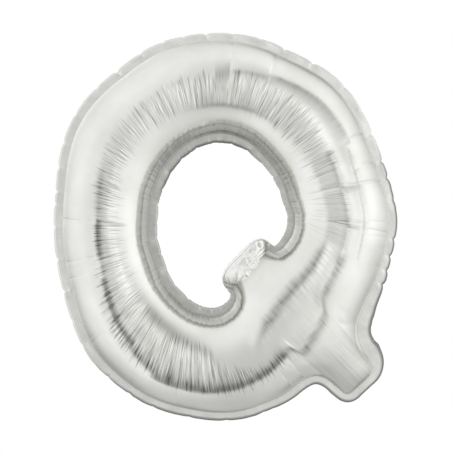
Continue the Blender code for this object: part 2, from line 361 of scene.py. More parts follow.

# Painted shade: darker film colour laid along the bottoms of the deep folds, which a soft mirror alone
# leaves too bright. It is laid on both films, though the ring folds are on the front only. Columns: clock
# angles of both ends, shares across at the start, the middle and the end, how far the shade spreads
# inwards and outwards in millimetres, its strength and over how many degrees it fades.
foldShades = (
    (150, 179, 0.56, 0.56, 0.545, 8, 6, 0.40, 8),
    (176, 194, 0.55, 0.56, 0.565, 8, 5, 0.95, 1),
    (192, 203, 0.55, 0.555, 0.56, 7, 5, 0.35, 2),
    (202, 232, 0.585, 0.60, 0.625, 9, 5, 0.95, 1),
    (226, 246, 0.64, 0.69, 0.755, 14, 5, 0.65, 6),
    (240, 268, 0.76, 0.765, 0.735, 16, 4, 0.85, 4),
    (262, 296, 0.735, 0.70, 0.66, 12, 6, 0.90, 4),
    (288, 352, 0.67, 0.56, 0.56, 7, 12, 0.62, 7),
    (284, 352, 0.41, 0.325, 0.37, 12, 9, 0.62, 14),
    (345, 400, 0.555, 0.55, 0.565, 8, 6, 0.35, 6),
    (-12, 35, 0.72, 0.715, 0.75, 3, 2, 0.35, 2),
    (35, 76, 0.79, 0.765, 0.71, 10, 3, 0.35, 1),
    (225, 268, 0.27, 0.30, 0.35, 12, 16, 0.35, 6),
    (74, 90, 0.68, 0.66, 0.64, 6, 4, 0.30, 3),
    (88.8, 94.6, 0.60, 0.60, 0.60, 20, 18, 0.40, 0.6),
)

# The same painted shade at the foot of the counter's wall and on the flat outer side of the tail.
footShade = {"strength": 0.42, "across": (0.05, 0.14)}
tailShade = {"strength": 0.26, "across": (0.60, 0.80), "from": (-0.05, 0.15), "to": (0.85, 1.05)}

# Where the outer margin is nipped in: clock angle in degrees, then how deep in millimetres, after a program's
# measurement of the outline's notches.
nips = (
    (9, 1.1), (17, 2.8), (23, 3.6), (33, 3.4), (41, 0.9), (50, 1.2), (62, 3.6), (72, 4.4),
    (80, 1.2), (88, 1.0), (96, 3.2), (103, 1.1), (109, 1.4), (116, 1.8), (125, 4.0), (133, 1.8),
    (143, 1.6), (152, 2.0), (160, 2.2), (168, 3.4), (172, 3.0), (180, 2.6), (191, 2.8), (202, 4.0),
    (212, 1.2), (220, 1.2), (232, 1.3), (240, 1.5), (248, 1.1), (259, 0.8), (270, 0.7), (281, 0.8),
    (340, 3.6), (345, 3.0), (350, 3.4), (356, 3.2),
)

# Long creases across the stroke: clock angle at the outer seal, share across where it ends, depth in mm.
longCreases = (
    (17, 0.12, 0.9), (25, 0.74, 0.6), (34, 0.76, 0.9), (73, 0.60, 0.9), (88, 0.55, 0.5),
    (109, 0.70, 0.35), (152, 0.85, 0.4), (177.5, 0.20, 0.9), (193, 0.50, 0.6), (199, 0.72, 0.5),
    (221, 0.75, 0.5), (254, 0.68, 0.5), (293, 0.70, 0.8), (357.5, 0.30, 0.9),
)

# Creases that run their own way on the front: x and z of both ends in millimetres, half width and depth in
# millimetres. A minus depth is a ridge.
frontCreases = (
    (313, 216, 262, 188, 2.6, 0.9),
    (340, 156, 274, 121, 2.4, 0.8),
    (358, 106, 252, 91, 2.6, 1.0),
    (366, 88, 355, 90, 2.0, 0.8),
    (362, 12, 173, 11, 2.0, 0.8),
    (-380, 10, -280, 12, 2.0, 0.7),
    (358, -22, 306, -20, 2.0, 0.7),
    (304, 7, 295, -4, 1.6, 0.7),
    (295, -4, 305, -20, 1.6, 0.6),
    (113, 393, 102, 349, 2.0, 0.8),
    (13, 387, 7, 338, 2.0, 0.4),
    (-44, 404, -40, 367, 2.0, 0.4),
    (-349, -93, -271, -80, 2.2, 0.4),
    (-311, -258, -288, -233, 2.2, 0.6),
    (276, -336, 293, -360, 2.4, 1.5),
    (240, -207, 316, -223, 2.4, 1.2),
    (128, -276, 182, -344, 2.2, 1.1),
    (151, -302, 190, -296, 4.5, -0.9),
    (190, -296, 231, -296, 4.5, -0.7),
    (120, -327, 153, -327, 2.0, 0.5),
    (291, 82, 300, 46, 2.2, 0.5),
    (300, 46, 309, 11, 2.2, 0.5),
    (306, -20, 262, -150, 2.6, 0.35),
)

# Patches of fine parallel creases on the front: x and z of the first one's ends, in millimetres, the step to
# the next, and how many.
hatches = (
    (240, -176, 272, -184, 3.5, -4.6, 8),
    (277, -254, 297, -261, 3.2, -5.0, 8),
    (132, -297, 146, -318, 4.0, 2.6, 6),
)


def upright(points):
    # unit directions off a grid of points, to the side the film bulges
    around = np.roll(points, -1, axis=0) - np.roll(points, 1, axis=0)
    across = np.gradient(points, axis=1)
    normal = np.cross(around, across)
    normal /= np.maximum(np.linalg.norm(normal, axis=2, keepdims=True), 1e-12)
    return normal * np.where(points[..., 1:2].mean() * normal[..., 1:2].mean() < 0, -1, 1)


def pressGrooves(relief, grooves, walked, whole, ways):
    # each groove runs across the stroke: where it is halfway, how it leans, half width, depth, its two ends
    # and how softly it fades at each
    for centre, lean, half, depth, low, high, lowFade, highFade in grooves:
        off = (walked - centre + whole / 2) % whole - whole / 2
        near = np.abs(off) < 4 * half + abs(lean)
        off = (off[near, None] - lean * (ways[None, :] - 0.5)) / half
        reach = smoothStep(low, low + lowFade, ways) * (1 - smoothStep(high - highFade, high, ways))
        relief[near] -= depth * np.exp(-np.abs(off) ** 1.5) * reach[None, :]


def gatherGrooves(draw, angles, walked, whole):
    # the fine gathers where the film had too little room to stretch
    zones = np.array(gatherZones, float)
    grooves = []
    here = 0.0
    while here < whole:
        clock = np.interp(here, walked, angles) % 360
        low, high, strength = (np.interp(clock, zones[:, 0], zones[:, k], period=360) for k in (1, 2, 3))
        span = high - low
        start = low + span * draw.uniform(-0.05, 0.45)
        end = high - span * draw.uniform(0, 0.45) * draw.uniform(0, 1)
        half = draw.uniform(*film["gatherHalf"])
        depth = strength * half * draw.uniform(*film["gatherSlope"]) / 0.75
        if end - start > 0.08:
            lean = draw.normal(0, 0.004)
            grooves.append((here, lean, half, depth, start, end, 0.10, draw.uniform(0.03, 0.12)))
        here += film["gatherPitch"] * draw.uniform(0.45, 1.35)
    return grooves


def gatherMask(draw, angles, ways):
    # how strongly the film is gathered at each point, with ragged ends: the foil's finest lines and their
    # painted shade follow it
    zones = np.array(gatherZones, float)
    low, high, strength = (np.interp(angles % 360, zones[:, 0], zones[:, k], period=360) for k in (1, 2, 3))
    knots = np.arange(0, len(angles) + 5, 5)
    ragged = [np.interp(np.arange(len(angles)), knots, draw.uniform(-1, 1, len(knots))) for _ in range(3)]
    low, high = low + 0.06 * ragged[0], high + 0.05 * ragged[1]
    rise = smoothStep(0, 0.12, ways[None, :] - low[:, None])
    fall = smoothStep(0, 0.06, high[:, None] - ways[None, :])
    return (strength * (0.8 + 0.2 * ragged[2]))[:, None] * rise * fall


def creaseGrooves(draw, outerAngles, walked):
    # the long creases that come in from the outer seal, each a sharp line in a shallow valley
    grooves = []
    for clock, end, depth in longCreases:
        centre = clockSpot(clock, outerAngles, walked)
        lean = draw.normal(0, 0.006)
        for half, deep, fade in zip(film["creaseHalf"], film["creaseDeep"], (0.12, 0.20)):
            grooves.append((centre, lean, half, depth / deep, end, 1.05, fade, 0.05))
    return grooves


def nipGrooves(draw, outerAngles, walked):
    # short puckers that start at each nip of the margin and run a little way into the film
    grooves = []
    for clock, deep in nips:
        centre = clockSpot(clock, outerAngles, walked)
        start = 1 - draw.uniform(0.05, 0.17)
        depth = film["edgePucker"] * min(deep, 3) / 3
        lean, half = draw.normal(0, 0.01), draw.uniform(0.004, 0.007)
        grooves.append((centre, lean, half, depth, start, 1.1, 0.12, 0.05))
    return grooves


def seamGrooves(draw, whole):
    # small puckers along the seal of the counter, and finer ones along the outer seal
    grooves = []
    here = 0.0
    while here < whole:
        depth = draw.uniform(0.0002, 0.0009)
        lean, half = draw.normal(0, 0.006), draw.uniform(0.003, 0.006)
        grooves.append((here, lean, half, depth, -0.1, 0.16, 0.05, 0.12))
        lean, half = draw.normal(0, 0.006), draw.uniform(0.002, 0.005)
        start = 1 - draw.uniform(0.03, 0.09)
        grooves.append((here + 0.007, lean, half, 0.6 * depth, start, 1.1, 0.05, 0.05))
        here += draw.uniform(0.012, 0.030)
    return grooves


def pressCreases(relief, flat, creases):
    # creases given by their two ends in the plane of the letter, faded at both ends
    for x0, z0, x1, z1, half, depth in creases:
        start, end = np.array([x0, z0]) / 1000, np.array([x1, z1]) / 1000
        span = np.linalg.norm(end - start)
        along = (end - start) / span
        off = flat - start
        walked = off @ along
        beside = off[..., 0] * along[1] - off[..., 1] * along[0]
        beside += 0.0008 * np.sin(walked * 170 + x0)
        fade = smoothStep(-0.004, 0.010, walked) * (1 - smoothStep(span - 0.010, span + 0.004, walked))
        sharp = np.exp(-np.abs(beside / (half / 1000)) ** 1.4)
        broad = np.exp(-np.abs(beside / (5 * half / 1000)) ** 2)
        relief -= depth / 1000 * fade * (0.9 * sharp + 0.6 * broad)


def foldLine(share, low, middle, high):
    # a bowed line from low over middle to high as share goes from 0 to 1
    return low + (high - low) * share + 4 * (middle - (low + high) / 2) * share * np.clip(1 - share, 0, 1)


def foldShade(angles, ways, width, tail):
    # how much painted shade darkens the film's colour at each point: the foot of the wall, the tail, then the
    # folds
    foot = footShade["strength"] * (1 - smoothStep(*footShade["across"], ways))
    dark = np.tile(foot, (len(angles), 1))
    inTail = smoothStep(*tailShade["from"], tail) * (1 - smoothStep(*tailShade["to"], tail))
    flat = smoothStep(*tailShade["across"], ways)
    dark = np.maximum(dark, tailShade["strength"] * inTail[:, None] * flat[None, :])
    for start, end, low, middle, high, inwards, outwards, strength, fading in foldShades:
        clock = (angles - start) % 360
        line = foldLine(clock / (end - start), low, middle, high)
        off = (ways[None, :] - line[:, None]) * width[:, None] * 1000
        off = np.where(off < 0, -off / inwards, off / outwards)
        fade = smoothStep(0, fading, clock) * (1 - smoothStep(end - start - fading, end - start, clock))
        dark = np.maximum(dark, strength * fade[:, None] * np.exp(-off ** 2))
    return dark


def pressRingFolds(relief, angles, ways, width):
    # folds that run round the letter, waved a little and faded at both ends
    for start, end, low, middle, high, height, reach, soft in ringFolds:
        clock = (angles - start) % 360
        share = clock / (end - start)
        waved = 0.003 * np.sin(clock * 0.9) + 0.002 * np.sin(clock * 2.3 + start)
        line = foldLine(share, low, middle, high) + waved
        fade = smoothStep(0, 0.10, share) * (1 - smoothStep(0.90, 1, share))
        off = np.abs(ways[None, :] - line[:, None]) * width[:, None] / (reach / 1000)
        relief += height / 1000 * fade[:, None] * np.exp(-off ** soft)


def slowWaves(draw, flat, height, length, count=26):
    # the film's slow unevenness: a few waves that cross each other
    waves = np.zeros(flat.shape[:2])
    for _ in range(count):
        turn = draw.uniform(0, 2 * math.pi)
        rate = 2 * math.pi / (length * draw.uniform(0.6, 2.2))
        phase = draw.uniform(0, 2 * math.pi)
        waves += np.sin((flat[..., 0] * math.cos(turn) + flat[..., 1] * math.sin(turn)) * rate + phase) / rate
    return height * waves / (np.abs(waves).max() + 1e-12)


def tippedPanels(draw, outerAngles, walked, whole, ways):
    # between two long creases the film lies as one panel, tipped a little to one side
    clocks = sorted(clock for clock, _, _ in longCreases)
    at = [clockSpot(clock, outerAngles, walked) for clock in clocks]
    order = np.argsort(at)
    at = np.array(at)[order]
    low, high = draw.uniform(-1, 1, len(at)), draw.uniform(-1, 1, len(at))
    tip = film["panelRise"]
    level = tip * np.interp(walked, at, low, period=whole)
    slant = tip * np.interp(walked, at, high, period=whole)
    hump = np.sin(math.pi * ways)
    return level[:, None] * hump[None, :] + slant[:, None] * np.sin(2 * math.pi * ways)[None, :]


def filmPoints(side, seed):
    # side -1 is the front film, +1 the back one
    draw = np.random.default_rng(seed)
    ways = filmRows(film["across"])
    places = filmPlaces(film["around"])
    inner, outer, _, _, tail = letterLines(places)
    width = np.linalg.norm(outer - inner, axis=1)
    flat = inner[:, None] + (outer - inner)[:, None] * ways[None, :, None]
    smooth = np.stack([flat[..., 0], side * inflatedHeight(places, ways), flat[..., 1]], axis=-1)
    middle = (inner + outer) / 2
    walked, whole = alongLine(middle)
    angles, outerAngles = clockAngle(middle), clockAngle(outer)
    relief = slowWaves(draw, flat, *film["waves"])
    relief += tippedPanels(draw, outerAngles, walked, whole, ways)
    pressGrooves(relief, creaseGrooves(draw, outerAngles, walked), walked, whole, ways)
    pressGrooves(relief, nipGrooves(draw, outerAngles, walked), walked, whole, ways)
    pressGrooves(relief, seamGrooves(draw, whole), walked, whole, ways)
    pressGrooves(relief, gatherGrooves(draw, angles, walked, whole), walked, whole, ways)
    if side < 0:
        pressRingFolds(relief, angles, ways, width)
        pressCreases(relief, flat, frontCreases)
        for x0, z0, x1, z1, dx, dz, count in hatches:
            pressCreases(relief, flat, [(x0 + k * dx, z0 + k * dz, x1 + k * dx, z1 + k * dz,
                                         film["hatchHalf"], film["hatchDeep"]) for k in range(count)])
    held = smoothStep(0, 0.02, ways) * (1 - smoothStep(0.96, 1, ways))
    # the gathers' mask, and the painted shade that darkens the film's colour
    marks = {"gathered": gatherMask(draw, angles, ways), "paintedShade": foldShade(angles, ways, width, tail)}
    return smooth + upright(smooth) * (relief * held[None, :])[..., None], (walked / whole, ways), marks


# The sealed margins: both films welded flat, 17 mm wide outside and 7 to 20 mm wide in the counter.
margin = {
    "around": 1400,
    "across": 8,
    "halfThick": 0.0004,
    "underFilm": 0.002,  # how far the weld reaches under the inflated film
    "lobe": 0.0012,  # how far the edge swells between two nips
    "nipHalf": 0.0046,
    "ruffle": 0.0009,  # how far the free edge waves out of its plane
    "curl": 0.0014,  # how far the cut edge curls back, and how much further along the low right
    "moreCurl": 0.0034,
    "curlZone": (215, 245, 375, 392),  # clock angles from 180 on where the curled edge, darker with painted shade, grows and ends
    "counterCurlZone": (415, 440, 505, 525),
    "outerSeed": 7,
    "counterSeed": 8,
}


def edgeRuffle(draw, walked, whole, count, low, high):
    # a closed line's waves, from whole numbers of waves round it
    waves = np.zeros(len(walked))
    for _ in range(count):
        rate = draw.integers(low, high)
        waves += np.sin(2 * math.pi * rate * walked / whole + draw.uniform(0, 2 * math.pi)) / math.sqrt(count)
    return waves


def marginPoints(seal, width, out, nipDepths, curlZone, seed):
    # out is 1 for the outer margin and -1 for the counter's
    draw = np.random.default_rng(seed)
    walked, whole = alongLine(seal)
    angles = clockAngle(seal)
    clocks = [(c - angles[0]) % 360 + angles[0] for c, _ in nipDepths]
    spots = np.sort(np.interp(clocks, angles, walked))
    depths = np.array([d for _, d in nipDepths])[np.argsort(clocks)] / 1000
    gap = np.diff(np.append(spots, spots[0] + whole))
    place = np.searchsorted(spots, walked, side="right") - 1
    through = ((walked - spots[place]) % whole) / gap[place]
    lobe = margin["lobe"] * np.sqrt(np.abs(np.sin(math.pi * through)))
    nip = np.zeros(len(walked))
    fold = np.zeros(len(walked))
    for spot, deep in zip(spots, depths):
        off = (walked - spot + whole / 2) % whole - whole / 2
        dip = np.exp(-np.abs(off / margin["nipHalf"]) ** 1.3)
        nip += deep * dip
        fold += draw.choice([-1, 1]) * 0.35 * deep * dip
    fine = edgeRuffle(draw, walked, whole, 14, 50, 120)
    slow = edgeRuffle(draw, walked, whole, 8, 12, 50)
    reach = width + lobe - nip + 0.0002 * fine
    under = besideLine(seal, np.full(len(seal), -out * margin["underFilm"]))
    edge = besideLine(seal, out * reach)
    ways = np.linspace(0, 1, margin["across"] + 1)
    rise = (margin["ruffle"] * (0.6 * slow + 0.12 * fine) + fold)[:, None] * smoothStep(0.1, 1, ways)[None, :]
    flat = under[:, None] + (edge - under)[:, None] * ways[None, :, None]
    clock = (angles - 180) % 360 + 180
    turnedAndShaded = smoothStep(curlZone[0], curlZone[1], clock) * (1 - smoothStep(curlZone[2], curlZone[3], clock))
    curled = margin["curl"] * smoothStep(0.86, 1, ways)[None, :] ** 2
    more = (out > 0) * margin["moreCurl"] * turnedAndShaded[:, None]
    curled = curled + more * smoothStep(0.74, 1, ways)[None, :] ** 2
    # the outer part of that edge is darkened in the material: painted shade
    turnedAndShaded = turnedAndShaded[:, None] * smoothStep(0.64, 0.90, ways)[None, :]
    middle = rise + curled
    half = margin["halfThick"] * (1 - 0.9 * ways ** 12)[None, :]
    front = np.stack([flat[..., 0], middle - half, flat[..., 1]], axis=-1)
    back = np.stack([flat[..., 0], middle + half, flat[..., 1]], axis=-1)
    marks = {"turnedAndShaded": np.concatenate([turnedAndShaded, turnedAndShaded[:, ::-1]], axis=1)}
    return np.concatenate([front, back[:, ::-1]], axis=1), marks


# The crumpled fold over the tail's inner end: a soft pillow of film that hangs over the counter's edge.
tailFold = {
    "along": 300,
    "across": 110,
    "lowEnd": (12, -142),  # where its crease against the film starts and ends, x and z in millimetres
    "highEnd": (98, -43),
    "bow": 5,  # how far that crease bows towards the tail, in millimetres
    "overEdge": 0.0012,
    "nose": 0.35,  # how high over the seals its free edge hangs, as a share of the film's height behind it
    "lean": 0.22,  # how far its face falls back from the crease to the free edge, as the same share
    "puff": 0.003,
    "crumple": 0.0003,
    "crumpleCell": 0.006,  # metres across one small fold, and how many there are
    "crumples": 160,
    "gap": 0.0005,  # how far its back stays behind its front and the film
    "seed": 31,
}

# Its own creases: x and z of both ends, half width and depth, in millimetres.
foldCreases = (
    (13, -142, 18, -109, 1.3, 1.5),
    (15, -141, 27, -96, 1.4, 1.9),
    (18, -140, 40, -104, 1.4, 1.8),
    (22, -137, 48, -110, 1.3, 1.5),
    (10, -136, 4, -112, 1.5, 1.0),
    (46, -73, 80, -50, 1.3, 1.4),
    (49, -80, 91, -51, 1.4, 1.8),
    (53, -85, 94, -58, 1.4, 1.8),
    (44, -66, 89, -45, 1.3, 1.2),
    (58, -91, 82, -69, 1.4, 1.4),
    (68, -40, 84, -36, 5.0, 3.4),
    (46, -70, 53, -88, 3.4, 2.6),
    (55, -57, 61, -53, 1.8, 2.0),
    (33, -92, 45, -104, 2.0, -1.2),
    (24, -84, 44, -62, 2.4, -1.0),
)


def crumpled(draw, flat, height, cell, count):
    # film crushed in the hand: many short folds, each a bent plane across a small patch
    low, high = flat.reshape(-1, 2).min(axis=0), flat.reshape(-1, 2).max(axis=0)
    dents = np.zeros(flat.shape[:2])
    for _ in range(count):
        spot = draw.uniform(low, high)
        turn = draw.uniform(0, 2 * math.pi)
        off = flat - spot
        across = off[..., 0] * math.cos(turn) + off[..., 1] * math.sin(turn)
        near = np.exp(-(off ** 2).sum(-1) / (cell * draw.uniform(0.6, 1.6)) ** 2)
        dents += draw.uniform(-1, 1) * np.abs(across) / cell * near
    return height * dents


def tailFoldPoints(frontPiece):
    draw = np.random.default_rng(tailFold["seed"])
    fine = evenPlaces(6000)
    share = letterLines(fine)[4]
    span = np.where((share > -0.01) & (share < 1.01))[0]
    inner, _, width, _, _ = letterLines(fine)
    rim = besideLine(inner, -(width + tailFold["overEdge"]))[span]
    walked = np.concatenate([[0], np.cumsum(np.linalg.norm(np.diff(rim, axis=0), axis=1))])
    u = np.linspace(0, 1, tailFold["along"])
    rim = np.stack([np.interp(u, walked / walked[-1], rim[:, k]) for k in (0, 1)], axis=1)
    low, high = np.array(tailFold["lowEnd"]) / 1000, np.array(tailFold["highEnd"]) / 1000
    away = np.array([high[1] - low[1], low[0] - high[0]]) / np.linalg.norm(high - low)
    bow = tailFold["bow"] / 1000 * np.sin(math.pi * u) + 0.0016 * np.sin(u * 23) * np.sin(math.pi * u)
    crease = low + (high - low) * u[:, None] + away * bow[:, None]
    t = np.linspace(0, 1, tailFold["across"])
    t = 0.6 * t + 0.4 * (1 - np.cos(math.pi * t)) / 2
    flat = rim[:, None] + (crease - rim)[:, None] * t[None, :, None]
    tree = BVHTree.FromObject(frontPiece, bpy.context.evaluated_depsgraph_get())
    under = np.zeros(flat.shape[:2])
    for row, column in np.ndindex(*under.shape):
        x, z = flat[row, column]
        hit = tree.ray_cast(Vector((x, -1, z)), Vector((0, 1, 0)))[0]
        under[row, column] = -hit.y if hit else 0
    seat = under[:, -1:]
    body = (1 - np.abs(2 * u - 1) ** 5)[:, None] ** 0.5
    leaning = 1 - tailFold["lean"] * (1 - smoothStep(0, 1.1, t[None, :]))
    shell = (1 - (1 - t[None, :]) ** 30) ** 0.5 * leaning
    hump = np.sin(math.pi * np.clip(t, 0, 1)) ** 0.8
    nose = tailFold["nose"] * seat * body
    out = nose + (seat - nose) * shell * body + tailFold["puff"] * hump[None, :] * body
    out = np.maximum(out, under)
    out = np.where(t[None, :] > 0.999, seat, out)
    relief = crumpled(draw, flat, tailFold["crumple"], tailFold["crumpleCell"], tailFold["crumples"])
    pressCreases(relief, flat, foldCreases)
    held = smoothStep(0, 0.06, t)[None, :] * (1 - smoothStep(0.95, 1, t))[None, :]
    held = held * (smoothStep(0, 0.04, u) * (1 - smoothStep(0.96, 1, u)))[:, None]
    out = out + relief * held
    front = np.stack([flat[..., 0], -out, flat[..., 1]], axis=-1)
    gap = tailFold["gap"]
    behind = np.maximum(under - gap, (nose - gap) * (1 - smoothStep(0, 0.5, t))[None, :])
    back = np.stack([flat[..., 0], -np.minimum(behind, out - gap), flat[..., 1]], axis=-1)
    return np.concatenate([front, back[:, ::-1]], axis=1)


# The filler neck and the mouth of its valve, folded behind the wide margin beside the tail.
neck = {
    "middle": (0.3345, -0.2640),
    "out": (0.872, 0.490),
    "width": 0.030,
    "length": 0.026,
    "thick": 0.0014,
    "behind": 0.0013,
    "sleeveWidth": 0.020,
    "sleeveLength": 0.006,
    "sleeveThick": 0.0006,
    "sleeveOverlap": 0.001,
    "along": 40,
    "across": 30,
    "bend": 0.0003,  # how far the neck waves out of its plane, and the sleeve
    "sleeveBend": 0.0002,
    "seed": 41,
    "sleeveSeed": 42,
}


def flatTab(width, start, end, thick, middleY, seed, bend):
    # a soft flat tab with rounded corners, running in from the letter's edge
    draw = np.random.default_rng(seed)
    t = np.linspace(0, 1, neck["along"])
    s = np.linspace(-1, 1, neck["across"])
    corner = 1 - 0.14 * smoothStep(0.86, 1, t) ** 2
    sideways = s[None, :] * corner[:, None] * width / 2
    inward = start + (end - start) * t[:, None] + 0 * sideways
    outX, outZ = neck["out"]
    x = neck["middle"][0] - outX * inward - outZ * sideways
    z = neck["middle"][1] - outZ * inward + outX * sideways
    flat = np.stack([x, z], axis=-1)
    waves = slowWaves(draw, flat, bend, 0.012)
    sides = np.sqrt(np.clip(1 - (s[None, :] ** 8), 0, 1))
    ends = np.sqrt(np.clip(1 - (2 * t[:, None] - 1) ** 12, 0, 1))
    half = thick / 2 * sides * ends
    low = np.stack([x, middleY + waves - half, z], axis=-1)
    high = np.stack([x, middleY + waves + half, z], axis=-1)
    return np.concatenate([low, high[:, ::-1]], axis=1)


def linear(hexColour):
    # sRGB hex to the linear values that nodes take
    parts = [int(hexColour[k:k + 2], 16) / 255 for k in (1, 3, 5)]
    return tuple(c / 12.92 if c <= 0.04045 else ((c + 0.055) / 1.055) ** 2.4 for c in parts) + (1,)


def addNode(tree, kind, values=None, links=None, **settings):
    # one node with its own settings, its input values and the sockets that feed it
    node = tree.nodes.new("ShaderNode" + kind)
    for name, value in settings.items():
        setattr(node, name, value)
    for socket, value in (values or {}).items():
        node.inputs[socket].default_value = value
    for socket, source in (links or {}).items():
        tree.links.new(source, node.inputs[socket])
    return node


def newMaterial(name):
    material = bpy.data.materials.new(name)
    material.use_nodes = True
    tree = material.node_tree
    return material, tree, tree.nodes["Principled BSDF"]


def varied(tree, shader, mottle, colours, ends, grain, roughness):
    # colour from dark to bright over one pattern, roughness over another; gives the colour to build on
    tint = addNode(tree, "ValToRGB", {}, {"Fac": mottle})
    for element, colour, end in zip(tint.color_ramp.elements, colours, ends):
        element.position = end
        element.color = linear(colour)
    low, high = roughness
    rough = addNode(tree, "MapRange", {"From Min": 0.3, "From Max": 0.7, "To Min": low, "To Max": high},
                    {"Value": grain})
    tree.links.new(rough.outputs["Result"], shader.inputs["Roughness"])
    return tint.outputs["Color"]


foilLook = {
    "bright": "#F6F6F3",
    "dull": "#EAEAE5",
    "shade": "#7E7E79",  # painted shade laid in folds and gathers; real film is one colour and mirrors dark there
    "lineShade": 0.62,  # how much of that painted shade the gathers' fine lines take
    "roughness": (0.12, 0.19),
    "loop": 0.32,  # metres: the stroke's middle line is as long as a circle of this radius
    "streakWidth": 2.0,  # millimetres; real draw lines are finer than this and wouldn't show
    "streakLength": 42,
    "crinkle": 9.0,  # millimetres across one faint dent
}


def satinFoil():
    # aluminised polyester film, satin: a soft mirror that blurs what it shows. It is drawn into fine lines
    # across the stroke, sharp and with painted shade where the film is gathered and hardly there elsewhere.
    # A painted shade also darkens its colour along the folds, at the foot of the counter's wall and on the
    # tail
    material, tree, shader = newMaterial("aluminised polyester film, satin")
    place = addNode(tree, "TexCoord").outputs["Object"]
    spot = addNode(tree, "SeparateXYZ", {}, {0: addNode(tree, "UVMap", uv_map="roundAcross").outputs["UV"]})
    turn = addNode(tree, "Math", {1: 2 * math.pi}, {0: spot.outputs["X"]}, operation="MULTIPLY").outputs[0]
    east = addNode(tree, "Math", {}, {0: turn}, operation="COSINE").outputs[0]
    north = addNode(tree, "Math", {}, {0: turn}, operation="SINE").outputs[0]
    lengthwise = 0.2 * foilLook["streakWidth"] / foilLook["streakLength"] / foilLook["loop"]
    along = addNode(tree, "Math", {1: lengthwise}, {0: spot.outputs["Y"]}, operation="MULTIPLY").outputs[0]
    drawn = addNode(tree, "CombineXYZ", {}, {"X": east, "Y": north, "Z": along}).outputs[0]
    across = foilLook["loop"] * 1000 / foilLook["streakWidth"] / 2
    streaks = addNode(tree, "TexNoise", {"Scale": across, "Detail": 2.0, "Roughness": 0.6},
                      {"Vector": drawn}).outputs["Fac"]
    gathered = addNode(tree, "Attribute", attribute_name="gathered").outputs["Fac"]
    dents = addNode(tree, "TexNoise", {"Scale": 1000 / foilLook["crinkle"] / 2, "Detail": 4.0,
                                       "Roughness": 0.55}, {"Vector": place})
    clouds = addNode(tree, "TexNoise", {"Scale": 9.0, "Detail": 3.0, "Roughness": 0.5}, {"Vector": place})
    tint = varied(tree, shader, clouds.outputs["Fac"], (foilLook["dull"], foilLook["bright"]), (0.35, 0.65),
                  dents.outputs["Fac"], foilLook["roughness"])
    hollow = addNode(tree, "MapRange", {"From Min": 0.50, "From Max": 0.36, "To Min": 0.0, "To Max": 1.0},
                     {"Value": streaks})
    between = hollow.outputs["Result"]
    # painted shade: the gathers' fine lines and the marked folds, wall foot and tail mix the colour towards
    # the shade colour
    inLines = addNode(tree, "Math", {}, {0: between, 1: gathered}, operation="MULTIPLY").outputs[0]
    paintedShade = addNode(tree, "Attribute", attribute_name="paintedShade").outputs["Fac"]
    ragged = addNode(tree, "Math", {1: 0.45, 2: 0.85}, {0: between}, operation="MULTIPLY_ADD").outputs[0]
    inFolds = addNode(tree, "Math", {}, {0: paintedShade, 1: ragged}, operation="MULTIPLY").outputs[0]
    shaded = addNode(tree, "Math", {1: foilLook["lineShade"]}, {0: inLines, 2: inFolds},
                     operation="MULTIPLY_ADD", use_clamp=True)
    colour = addNode(tree, "Mix", {7: linear(foilLook["shade"])},
                     {0: shaded.outputs[0], 6: tint}, data_type="RGBA")
    tree.links.new(colour.outputs[2], shader.inputs["Base Color"])
    depth = addNode(tree, "Math", {1: 0.55, 2: 0.05}, {0: gathered}, operation="MULTIPLY_ADD").outputs[0]
    lines = addNode(tree, "Bump", {"Distance": 0.0012}, {"Height": streaks, "Strength": depth})
    pits = addNode(tree, "Bump", {"Strength": 0.05, "Distance": 0.003},
                   {"Height": dents.outputs["Fac"], "Normal": lines.outputs["Normal"]})
    tree.links.new(pits.outputs["Normal"], shader.inputs["Normal"])
    shader.inputs["Metallic"].default_value = 1
    return material


crushLook = {
    "bright": "#FBFBF9",
    "roughness": (0.12, 0.24),
    "facets": 120.0,  # how many small facets and wrinkles to a metre
    "wrinkles": 90.0,
}


def crushedFoil():
    # the same film crushed into a fold: small flat facets that each catch another light
    material, tree, shader = newMaterial("aluminised polyester film, crushed")
    place = addNode(tree, "TexCoord").outputs["Object"]
    facets = addNode(tree, "TexVoronoi", {"Scale": crushLook["facets"]}, {"Vector": place}, feature="F1")
    wrinkles = addNode(tree, "TexNoise", {"Scale": crushLook["wrinkles"], "Detail": 3.0, "Roughness": 0.6,
                                          "Distortion": 1.5}, {"Vector": place})
    tint = varied(tree, shader, wrinkles.outputs["Fac"], (foilLook["dull"], crushLook["bright"]), (0.3, 0.6),
                  wrinkles.outputs["Fac"], crushLook["roughness"])
    tree.links.new(tint, shader.inputs["Base Color"])
    bent = addNode(tree, "Bump", {"Strength": 0.08, "Distance": 0.002},
                   {"Height": facets.outputs["Distance"]})
    fine = addNode(tree, "Bump", {"Strength": 0.10, "Distance": 0.002},
                   {"Height": wrinkles.outputs["Fac"], "Normal": bent.outputs["Normal"]})
    tree.links.new(fine.outputs["Normal"], shader.inputs["Normal"])
    shader.inputs["Metallic"].default_value = 1
    return material


sealLook = {
    "outside": ("#E6E6E1", "#F2F2EE"),
    "counter": ("#C2C2BD", "#D2D2CD"),  # painted shade: made darker, as it lies deep between the blown walls
    "roughness": (0.20, 0.30),
    "weldPitch": 4.0,  # millimetres between the weld's pressed lines; the real ones are about 1 mm
    "edgeShade": 0.95,  # how much of the folds' painted shade colour the curled edge takes
}


